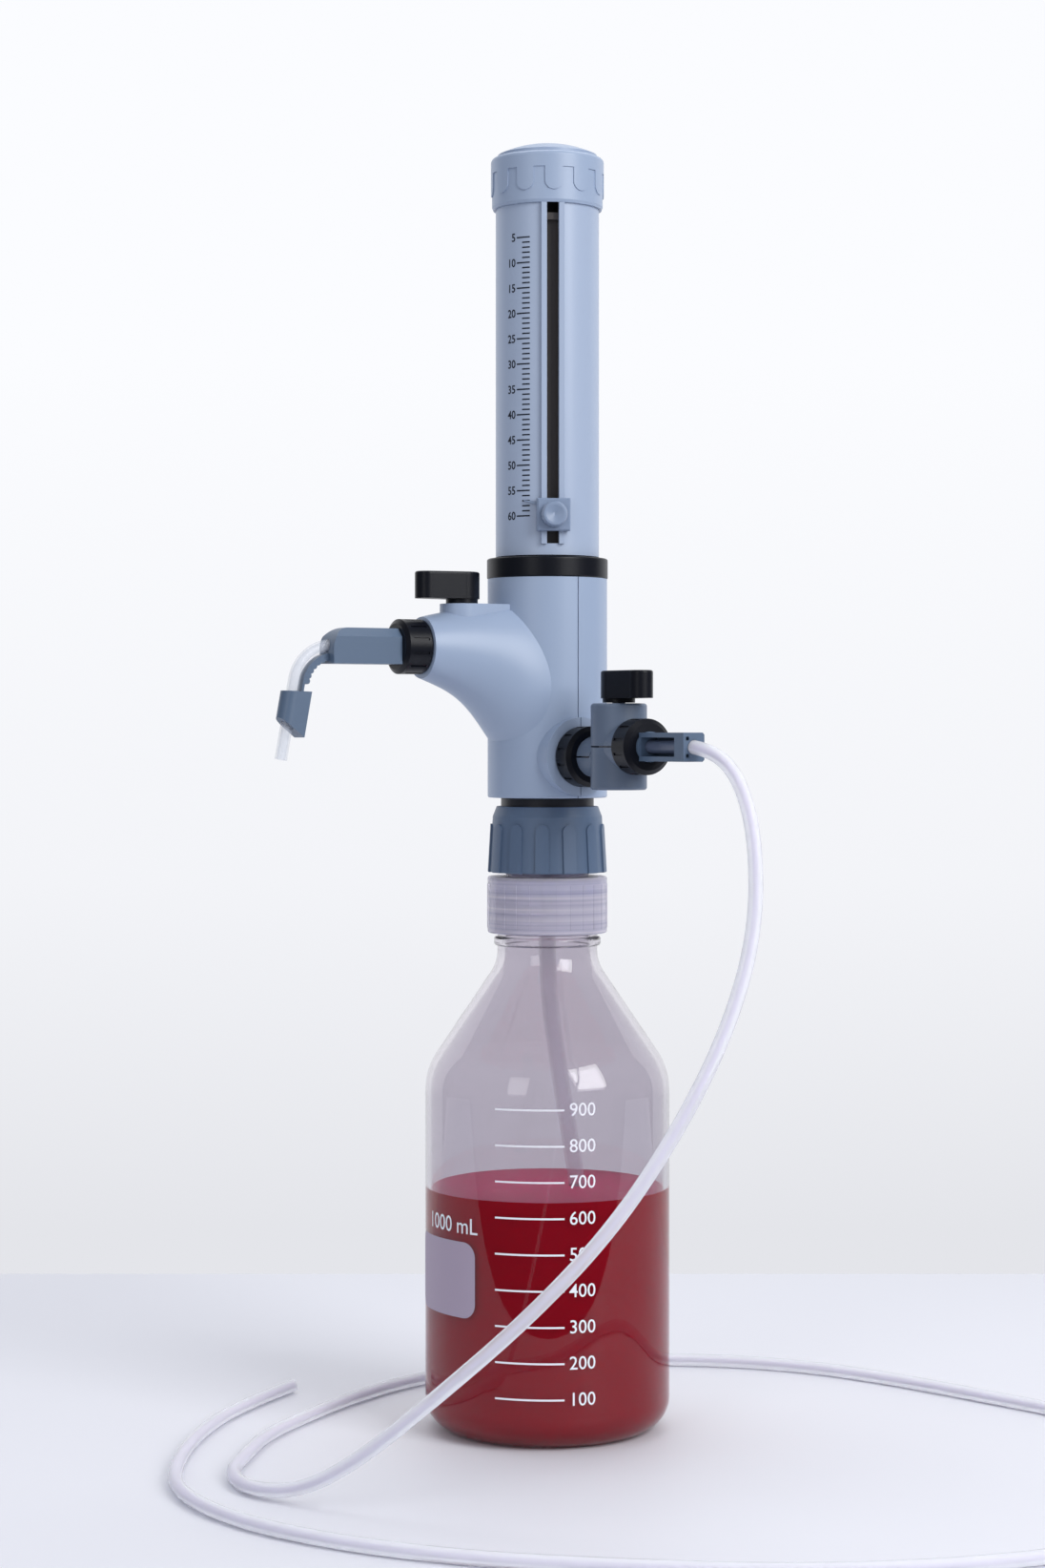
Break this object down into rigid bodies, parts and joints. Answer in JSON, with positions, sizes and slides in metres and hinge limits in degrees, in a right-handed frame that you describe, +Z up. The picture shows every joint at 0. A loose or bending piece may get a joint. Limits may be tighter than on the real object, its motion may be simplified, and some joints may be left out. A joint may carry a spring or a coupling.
{
  "type": "bottle-top dispenser",
  "caption": "Bottle-top dispenser on a reagent bottle: piston pump with volume slider, priming and return valves, swivelling nozzle and return hose.",
  "frame": {"origin": "middle of the bottle's base, on the table", "axes": "+Z up the pump's axis, -X along the delivery arm to the nozzle, -Y along the return valve to its hose"},
  "size_m": [0.3843, 0.3835, 0.5296],
  "materials": {
    "clear_glass": "clear",
    "liquid": "deep red liquid",
    "blue_plastic": "gloss",
    "ptfe": "satin",
    "translucent_plastic": "translucent",
    "collar_plastic": "satin",
    "block_plastic": "satin",
    "shell_plastic": "satin",
    "black_plastic": "satin",
    "nozzle_plastic": "satin",
    "clear_tube": "clear",
    "jacket_plastic": "satin",
    "slider_plastic": "satin",
    "rod_plastic": "satin",
    "seal_rubber": "matt"
  },
  "bodies": {
    "base": {"bottle": "clear_glass", "reagent": "liquid", "pouring_ring": "blue_plastic", "dip_tube": "ptfe", "bottle_adapter": "translucent_plastic", "neck_gasket": "seal_rubber", "valve_block": "block_plastic", "intake_seat": "ptfe", "discharge_seat": "ptfe", "left_shell": "shell_plastic", "right_shell": "shell_plastic", "valve_jacket_upper": "jacket_plastic", "valve_jacket_lower": "jacket_plastic", "valve_core": "ptfe", "hose_holder": "nozzle_plastic", "hose_tail": "clear_tube", "return_hose": "clear_tube", "lock_ring": "black_plastic", "barrel_gasket": "seal_rubber", "glass_barrel": "clear_glass", "barrel_guard": "rod_plastic"},
    "collar": {"threaded_collar": "collar_plastic"},
    "sleeve": {"volume_sleeve": "shell_plastic", "cap": "shell_plastic", "cap_screw": "rod_plastic", "cap_disc": "shell_plastic", "piston_rod": "rod_plastic", "piston": "ptfe", "lower_seal": "seal_rubber", "upper_seal": "seal_rubber"},
    "slider": {"volume_slider": "slider_plastic", "stop_nut": "slider_plastic"},
    "knob": {"slider_knob": "slider_plastic"},
    "priming_valve": {"priming_lever": "black_plastic", "priming_plug": "ptfe"},
    "return_valve": {"valve_lever": "black_plastic", "valve_plug": "ptfe"},
    "nozzle": {"nozzle_frame": "nozzle_plastic", "delivery_tube": "clear_tube"},
    "nozzle_union": {"nozzle_nut": "black_plastic"},
    "port_union": {"port_nut": "black_plastic"},
    "hose_union": {"hose_nut": "black_plastic"},
    "intake_check": {"intake_ball": "clear_glass"},
    "discharge_check": {"discharge_ball": "clear_glass"}
  },
  "joints": [
    {"name": "collar_turn", "type": "hinge", "parent": "base", "child": "collar", "pos_m": [0, 0, 0.2426], "axis": [0, 0, 1], "range_deg": [0, 540]},
    {"name": "piston_lift", "type": "slide", "parent": "base", "child": "sleeve", "axis": [0, 0, 1], "range_m": [0, 0.1174]},
    {"name": "volume_slide", "type": "slide", "parent": "sleeve", "child": "slider", "axis": [0, 0, 1], "range_m": [-0.0062, 0.1074]},
    {"name": "knob_turn", "type": "hinge", "parent": "slider", "child": "knob", "pos_m": [-0.01178, -0.02584, 0.3751], "axis": [-0.4147, -0.91, 0], "range_deg": [0, 360]},
    {"name": "priming_turn", "type": "hinge", "parent": "base", "child": "priming_valve", "pos_m": [-0.0404, 0, 0.34], "axis": [0, 0, 1], "range_deg": [0, 90]},
    {"name": "return_turn", "type": "hinge", "parent": "base", "child": "return_valve", "pos_m": [0, -0.0561, 0.3], "axis": [0, 0, 1], "range_deg": [0, 90]},
    {"name": "nozzle_swivel", "type": "hinge", "parent": "base", "child": "nozzle", "pos_m": [-0.07, 0, 0.3212], "axis": [1, 0, 0], "range_deg": [-90, 90]},
    {"name": "nozzle_nut_turn", "type": "hinge", "parent": "base", "child": "nozzle_union", "pos_m": [-0.065, 0, 0.3212], "axis": [1, 0, 0], "range_deg": [0, 540]},
    {"name": "port_nut_turn", "type": "hinge", "parent": "base", "child": "port_union", "pos_m": [0, -0.032, 0.2768], "axis": [0, 1, 0], "range_deg": [0, 540]},
    {"name": "hose_nut_turn", "type": "hinge", "parent": "base", "child": "hose_union", "pos_m": [0, -0.073, 0.281], "axis": [0, 1, 0], "range_deg": [0, 540]},
    {"name": "intake_ball_lift", "type": "slide", "parent": "base", "child": "intake_check", "axis": [0, 0, 1], "range_m": [0, 0.002]},
    {"name": "discharge_ball_lift", "type": "slide", "parent": "base", "child": "discharge_check", "axis": [-1, 0, 0], "range_m": [0, 0.002]}
  ]
}
